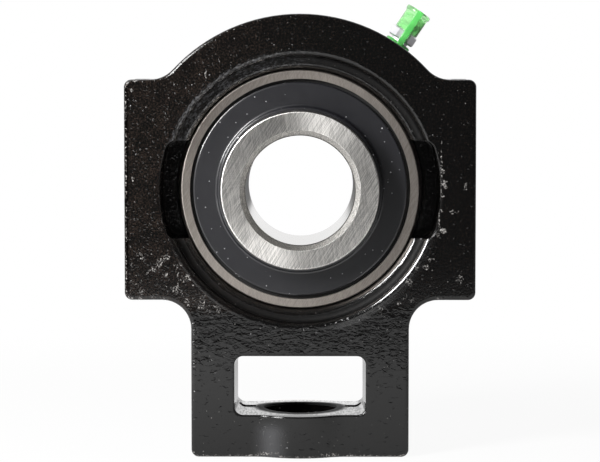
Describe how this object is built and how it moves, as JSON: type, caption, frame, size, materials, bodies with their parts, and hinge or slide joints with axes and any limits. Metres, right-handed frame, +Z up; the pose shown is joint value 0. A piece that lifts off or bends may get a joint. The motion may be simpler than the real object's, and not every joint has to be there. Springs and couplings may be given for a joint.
{
  "type": "take-up bearing unit",
  "caption": "Slotted take-up housing with a self-aligning insert ball bearing, a nut window for its adjusting screw and a capped grease nipple.",
  "frame": {"origin": "centre of the bearing, where the shaft's axis crosses the mid-plane between the housing's two faces", "axes": "Y along the shaft with the short side of the inner ring towards -Y, +Z up with the end wall and its screw hole towards -Z, X from rail to rail"},
  "size_m": [0.102, 0.0439, 0.1321],
  "materials": {
    "black_paint": "glossy black paint over rough cast iron, small chips and dust specks",
    "ground_steel": "ground bearing steel with fine circular marks",
    "polished_steel": "polished bearing balls",
    "pressed_steel": "pressed sheet steel",
    "seal_rubber": "smooth black rubber",
    "flinger_black": "satin black coating with a bluish sheen",
    "black_oxide": "black oxide",
    "plated_steel": "zinc-plated steel",
    "green_plastic": "translucent green plastic"
  },
  "bodies": {
    "frame": {"housing": "black_paint", "grease_nipple": "plated_steel", "nipple_spring": "plated_steel"},
    "outer": {"outer_ring": "ground_steel", "seal_front": "seal_rubber", "seal_rear": "seal_rubber"},
    "inner": {"inner_ring": "ground_steel", "flinger_front": "flinger_black", "flinger_rear": "flinger_black"},
    "cage": {"cage_front": "pressed_steel", "cage_rear": "pressed_steel", "cage_rivets": "pressed_steel"},
    "ball_1_body": {"ball_1": "polished_steel"},
    "ball_2_body": {"ball_2": "polished_steel"},
    "ball_3_body": {"ball_3": "polished_steel"},
    "ball_4_body": {"ball_4": "polished_steel"},
    "ball_5_body": {"ball_5": "polished_steel"},
    "ball_6_body": {"ball_6": "polished_steel"},
    "ball_7_body": {"ball_7": "polished_steel"},
    "ball_8_body": {"ball_8": "polished_steel"},
    "ball_9_body": {"ball_9": "polished_steel"},
    "screw_1": {"set_screw_1": "black_oxide"},
    "screw_2": {"set_screw_2": "black_oxide"},
    "valve": {"nipple_ball": "polished_steel"},
    "cap": {"nipple_cap": "green_plastic"}
  },
  "joints": [
    {"name": "align", "type": "hinge", "parent": "frame", "child": "outer", "pos_m": [0, 0, 0], "axis": [1, 0, 0], "range_deg": [-3, 3]},
    {"name": "shaft_spin", "type": "hinge", "parent": "outer", "child": "inner", "pos_m": [0, 0, 0], "axis": [0, 1, 0], "continuous": true},
    {"name": "cage_orbit", "type": "hinge", "parent": "outer", "child": "cage", "pos_m": [0, 0, 0], "axis": [0, 1, 0], "continuous": true},
    {"name": "ball_1_roll", "type": "hinge", "parent": "cage", "child": "ball_1_body", "pos_m": [0, 0, 0.02675], "axis": [0, 1, 0], "continuous": true},
    {"name": "ball_2_roll", "type": "hinge", "parent": "cage", "child": "ball_2_body", "pos_m": [0.01719, 0, 0.02049], "axis": [0, 1, 0], "continuous": true},
    {"name": "ball_3_roll", "type": "hinge", "parent": "cage", "child": "ball_3_body", "pos_m": [0.02634, 0, 0.00465], "axis": [0, 1, 0], "continuous": true},
    {"name": "ball_4_roll", "type": "hinge", "parent": "cage", "child": "ball_4_body", "pos_m": [0.02317, 0, -0.01337], "axis": [0, 1, 0], "continuous": true},
    {"name": "ball_5_roll", "type": "hinge", "parent": "cage", "child": "ball_5_body", "pos_m": [0.00915, 0, -0.02514], "axis": [0, 1, 0], "continuous": true},
    {"name": "ball_6_roll", "type": "hinge", "parent": "cage", "child": "ball_6_body", "pos_m": [-0.00915, 0, -0.02514], "axis": [0, 1, 0], "continuous": true},
    {"name": "ball_7_roll", "type": "hinge", "parent": "cage", "child": "ball_7_body", "pos_m": [-0.02317, 0, -0.01337], "axis": [0, 1, 0], "continuous": true},
    {"name": "ball_8_roll", "type": "hinge", "parent": "cage", "child": "ball_8_body", "pos_m": [-0.02634, 0, 0.00465], "axis": [0, 1, 0], "continuous": true},
    {"name": "ball_9_roll", "type": "hinge", "parent": "cage", "child": "ball_9_body", "pos_m": [-0.01719, 0, 0.02049], "axis": [0, 1, 0], "continuous": true},
    {"name": "set_screw_1_turn_out", "type": "slide", "parent": "inner", "child": "screw_1", "axis": [0.866, 0, 0.5], "range_m": [-0.00023, 0.003]},
    {"name": "set_screw_2_turn_out", "type": "slide", "parent": "inner", "child": "screw_2", "axis": [-0.866, 0, 0.5], "range_m": [-0.00023, 0.003]},
    {"name": "valve_open", "type": "slide", "parent": "frame", "child": "valve", "axis": [-0.5592, 0, -0.829], "range_m": [0, 0.0008], "stiffness_N_per_m": 400, "springref_m": -0.0005, "deforming": ["nipple_spring"]},
    {"name": "cap_pull", "type": "slide", "parent": "frame", "child": "cap", "axis": [0.5592, 0, 0.829], "range_m": [0, 0.007], "deforming": ["nipple_cap"]}
  ],
  "couplings": [
    {"joint": "cage_orbit", "follows": "shaft_spin", "ratio": 0.39615},
    {"joint": "ball_1_roll", "follows": "shaft_spin", "ratio": -2.3035},
    {"joint": "ball_2_roll", "follows": "shaft_spin", "ratio": -2.3035},
    {"joint": "ball_3_roll", "follows": "shaft_spin", "ratio": -2.3035},
    {"joint": "ball_4_roll", "follows": "shaft_spin", "ratio": -2.3035},
    {"joint": "ball_5_roll", "follows": "shaft_spin", "ratio": -2.3035},
    {"joint": "ball_6_roll", "follows": "shaft_spin", "ratio": -2.3035},
    {"joint": "ball_7_roll", "follows": "shaft_spin", "ratio": -2.3035},
    {"joint": "ball_8_roll", "follows": "shaft_spin", "ratio": -2.3035},
    {"joint": "ball_9_roll", "follows": "shaft_spin", "ratio": -2.3035}
  ]
}
